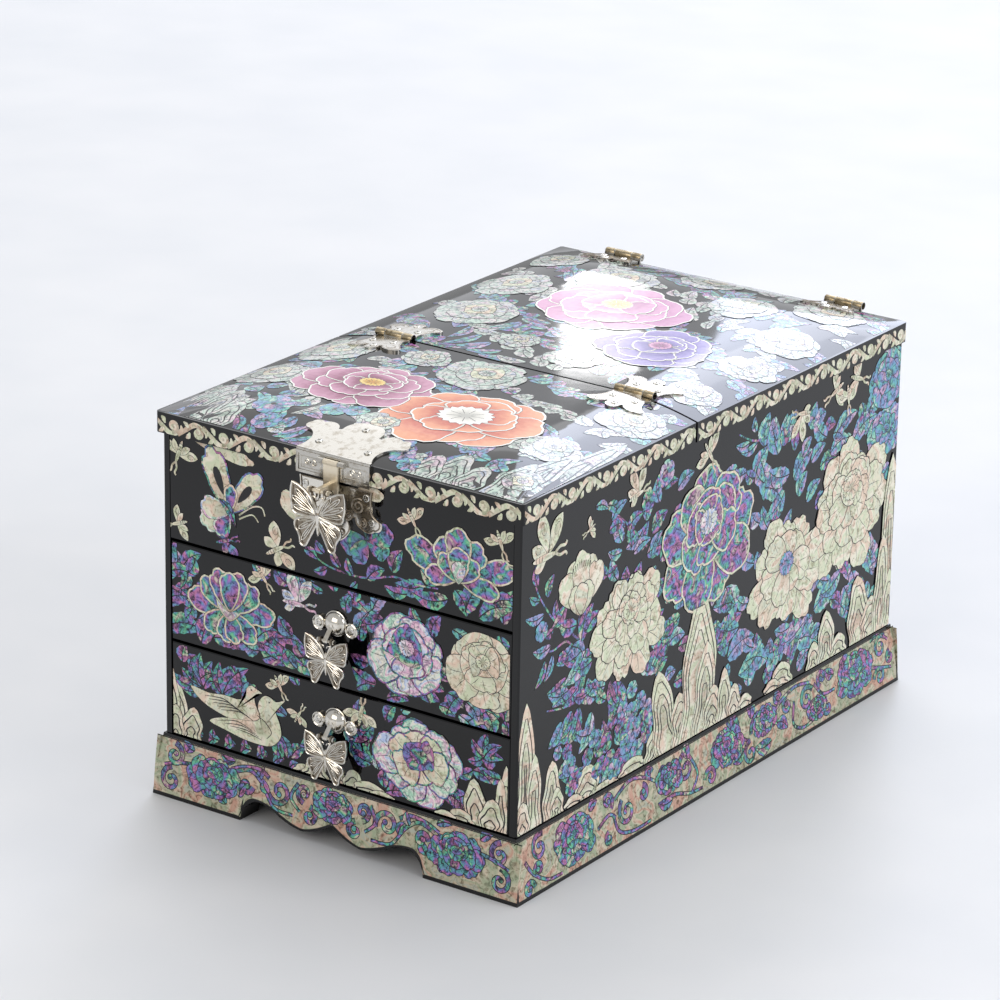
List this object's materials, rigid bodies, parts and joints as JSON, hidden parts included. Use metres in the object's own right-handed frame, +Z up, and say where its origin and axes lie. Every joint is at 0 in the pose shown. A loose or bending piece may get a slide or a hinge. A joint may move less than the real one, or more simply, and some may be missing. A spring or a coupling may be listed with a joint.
{
  "type": "jewellery box",
  "caption": "Black lacquered jewellery box with shell inlay, a crowned lid in two folding leaves, drawers with butterfly pulls, a butterfly clasp and a flared scalloped plinth.",
  "frame": {"origin": "on the table, below the middle of the whole box with its fittings", "axes": "+X to the right seen from the front, +Y to the back, +Z up"},
  "size_m": [0.2248, 0.3718, 0.2146],
  "materials": {
    "black_lacquer": "black gloss lacquer over wood, inlaid with shell",
    "dark_wood": "thin dark lacquer",
    "plain_wood": "bare",
    "nickel_plate": "worn nickel plate",
    "hinge_brass": "worn brass",
    "screw_steel": "nickel-plated steel",
    "velvet": "dark red velvet",
    "mirror_glass": "silvered glass"
  },
  "bodies": {
    "cabinet": {"left_side_panel": "black_lacquer", "right_side_panel": "black_lacquer", "back_panel": "black_lacquer", "upper_front_panel": "black_lacquer", "compartment_floor": "dark_wood", "drawer_shelf": "dark_wood", "bottom_panel": "dark_wood", "plinth_front": "black_lacquer", "plinth_back": "black_lacquer", "plinth_right": "black_lacquer", "plinth_left": "black_lacquer", "plinth_corner_blocks": "plain_wood", "compartment_lining": "velvet", "compartment_divider": "velvet", "ring_rolls": "velvet", "rear_hinge_back_leaf_left": "nickel_plate", "rear_hinge_back_leaf_right": "nickel_plate", "rear_hinge_pins": "hinge_brass", "latch_stud": "nickel_plate", "latch_lower_plate": "nickel_plate", "case_screws": "screw_steel"},
    "rear_lid": {"rear_lid_panel": "black_lacquer", "lid_mirror": "mirror_glass", "mirror_frame": "dark_wood", "mid_hinge_rear_leaf_left": "nickel_plate", "mid_hinge_rear_leaf_right": "nickel_plate", "mid_hinge_pins": "hinge_brass", "rear_hinge_lid_leaf_left": "nickel_plate", "rear_hinge_lid_leaf_right": "nickel_plate", "rear_lid_screws": "screw_steel"},
    "front_lid": {"front_lid_panel": "black_lacquer", "front_lid_lining": "velvet", "mid_hinge_front_leaf_left": "nickel_plate", "mid_hinge_front_leaf_right": "nickel_plate", "latch_top_plate": "nickel_plate", "hasp_pin": "hinge_brass", "front_lid_screws": "screw_steel"},
    "hasp": {"hasp": "nickel_plate"},
    "clasp_butterfly": {"clasp_butterfly": "nickel_plate"},
    "upper_drawer": {"upper_drawer_side_walls": "dark_wood", "upper_drawer_back_wall": "dark_wood", "upper_drawer_bottom": "dark_wood", "upper_drawer_lining": "velvet", "upper_drawer_front": "black_lacquer", "upper_drawer_pull_base": "nickel_plate", "upper_drawer_pull_screws": "screw_steel"},
    "upper_pull": {"upper_drawer_pull_butterfly": "nickel_plate"},
    "lower_drawer": {"lower_drawer_side_walls": "dark_wood", "lower_drawer_back_wall": "dark_wood", "lower_drawer_bottom": "dark_wood", "lower_drawer_lining": "velvet", "lower_drawer_front": "black_lacquer", "lower_drawer_pull_base": "nickel_plate", "lower_drawer_pull_screws": "screw_steel"},
    "lower_pull": {"lower_drawer_pull_butterfly": "nickel_plate"}
  },
  "joints": [
    {"name": "rear_lid_hinge", "type": "hinge", "parent": "cabinet", "child": "rear_lid", "pos_m": [0, 0.18327, 0.2065], "axis": [-1, 0, 0], "range_deg": [0, 100]},
    {"name": "front_lid_fold", "type": "hinge", "parent": "rear_lid", "child": "front_lid", "pos_m": [0, -0.02303, 0.21252], "axis": [-1, 0, 0], "range_deg": [0, 176]},
    {"name": "hasp_hinge", "type": "hinge", "parent": "front_lid", "child": "hasp", "pos_m": [0, -0.17413, 0.2018], "axis": [-1, 0, 0], "range_deg": [0, 70]},
    {"name": "clasp_butterfly_swing", "type": "hinge", "parent": "hasp", "child": "clasp_butterfly", "pos_m": [0, -0.18413, 0.1903], "axis": [-1, 0, 0], "range_deg": [-10, 45]},
    {"name": "upper_drawer_slide", "type": "slide", "parent": "cabinet", "child": "upper_drawer", "axis": [0, -1, 0], "range_m": [0, 0.22]},
    {"name": "upper_pull_swing", "type": "hinge", "parent": "upper_drawer", "child": "upper_pull", "pos_m": [0, -0.17752, 0.1114], "axis": [-1, 0, 0], "range_deg": [-12, 70]},
    {"name": "lower_drawer_slide", "type": "slide", "parent": "cabinet", "child": "lower_drawer", "axis": [0, -1, 0], "range_m": [0, 0.22]},
    {"name": "lower_pull_swing", "type": "hinge", "parent": "lower_drawer", "child": "lower_pull", "pos_m": [0, -0.17752, 0.0604], "axis": [-1, 0, 0], "range_deg": [-12, 70]}
  ]
}
